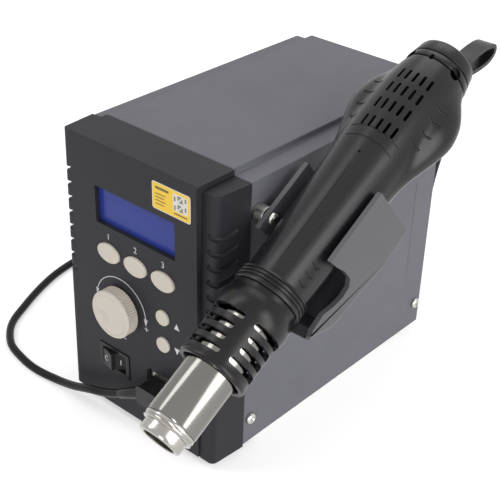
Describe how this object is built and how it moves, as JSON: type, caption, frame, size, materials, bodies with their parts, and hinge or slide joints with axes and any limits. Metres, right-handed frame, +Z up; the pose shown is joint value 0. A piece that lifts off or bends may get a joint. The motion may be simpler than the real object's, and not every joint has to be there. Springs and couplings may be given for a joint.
{
  "type": "hot air rework station",
  "caption": "Benchtop hot air rework station: upright cabinet with screen, buttons and knob, and a fan handset with a slotted guard that rests in a side cradle on a coiled cord.",
  "frame": {"origin": "centre of the station's box at the plane the feet stand on, measured without the free cord", "axes": "+X to the station's right as seen from the front, +Y from the front panel to the rear panel, +Z up"},
  "size_m": [0.2535, 0.3131, 0.2012],
  "materials": {
    "case_sheet": "grey powder coat",
    "charcoal_plastic": "fine matt charcoal",
    "black_plastic": "satin black",
    "grey_plastic": "matt dark grey",
    "cream_plastic": "matt warm light grey",
    "screen": "clear window over a blue screen",
    "bright_metal": "zinc plated",
    "polished_tube": "polished stainless steel",
    "soft_rubber": "matt black",
    "cord_rubber": "satin black jacket",
    "circuit_board": "green solder mask",
    "winding": "enamelled copper wire",
    "heater_ceramic": "fired ceramic"
  },
  "bodies": {
    "station": {"base_pan": "case_sheet", "top_cover": "case_sheet", "rear_panel": "case_sheet", "front_bezel": "charcoal_plastic", "front_panel": "charcoal_plastic", "lcd_window": "screen", "lcd_module": "bright_metal", "control_board": "circuit_board", "driver_board": "circuit_board", "transformer_core": "bright_metal", "transformer_winding": "winding", "mains_inlet": "black_plastic", "rocker_housing": "black_plastic", "knob_encoder": "bright_metal", "handset_socket": "bright_metal", "cord_plug": "black_plastic", "plug_relief": "soft_rubber", "foot_1": "soft_rubber", "foot_2": "soft_rubber", "foot_3": "soft_rubber", "foot_4": "soft_rubber", "cover_screw_1": "bright_metal", "cover_screw_2": "bright_metal", "cover_screw_3": "bright_metal", "cover_screw_4": "bright_metal", "cradle": "grey_plastic", "cradle_spacer_1": "bright_metal", "cradle_spacer_2": "bright_metal", "cradle_screw_1": "bright_metal", "cradle_screw_2": "bright_metal", "cord_lead": "cord_rubber", "cord_coil": "cord_rubber", "cord_rise": "cord_rubber"},
    "handset": {"upper_shell": "black_plastic", "lower_shell": "black_plastic", "end_cap": "black_plastic", "hang_loop": "black_plastic", "handset_gland": "soft_rubber", "fan_motor": "bright_metal", "ribbed_collar": "black_plastic", "heat_guard": "black_plastic", "steel_tube": "polished_tube", "outlet_collar": "polished_tube", "heater_core": "heater_ceramic"},
    "fan": {"fan_impeller": "black_plastic"},
    "knob": {"control_knob": "cream_plastic", "knob_shaft": "bright_metal"},
    "rocker": {"power_rocker": "black_plastic"},
    "channel_1": {"channel_button_1": "cream_plastic"},
    "channel_2": {"channel_button_2": "cream_plastic"},
    "channel_3": {"channel_button_3": "cream_plastic"},
    "up": {"up_button": "cream_plastic"},
    "down": {"down_button": "cream_plastic"}
  },
  "joints": [
    {"name": "handset_lift", "type": "slide", "parent": "station", "child": "handset", "axis": [0, -0.508, 0.8614], "range_m": [0, 0.06]},
    {"name": "fan_spin", "type": "hinge", "parent": "handset", "child": "fan", "pos_m": [0.05328, 0.03661, 0.16842], "axis": [0, 0.8614, 0.508], "continuous": true},
    {"name": "knob_turn", "type": "hinge", "parent": "station", "child": "knob", "pos_m": [-0.03647, -0.05574, 0.06989], "axis": [0, 0.9998, 0.0209], "continuous": true},
    {"name": "rocker_tip", "type": "hinge", "parent": "station", "child": "rocker", "pos_m": [-0.04322, -0.05101, 0.03498], "axis": [0, 0.0209, -0.9998], "range_deg": [0, 15]},
    {"name": "channel_1_press", "type": "slide", "parent": "station", "child": "channel_1", "axis": [0, 0.9998, 0.0209], "range_m": [0, 0.0008], "stiffness_N_per_m": 400},
    {"name": "channel_2_press", "type": "slide", "parent": "station", "child": "channel_2", "axis": [0, 0.9998, 0.0209], "range_m": [0, 0.0008], "stiffness_N_per_m": 400},
    {"name": "channel_3_press", "type": "slide", "parent": "station", "child": "channel_3", "axis": [0, 0.9998, 0.0209], "range_m": [0, 0.0008], "stiffness_N_per_m": 400},
    {"name": "up_press", "type": "slide", "parent": "station", "child": "up", "axis": [0, 0.9998, 0.0209], "range_m": [0, 0.0008], "stiffness_N_per_m": 400},
    {"name": "down_press", "type": "slide", "parent": "station", "child": "down", "axis": [0, 0.9998, 0.0209], "range_m": [0, 0.0008], "stiffness_N_per_m": 400}
  ]
}
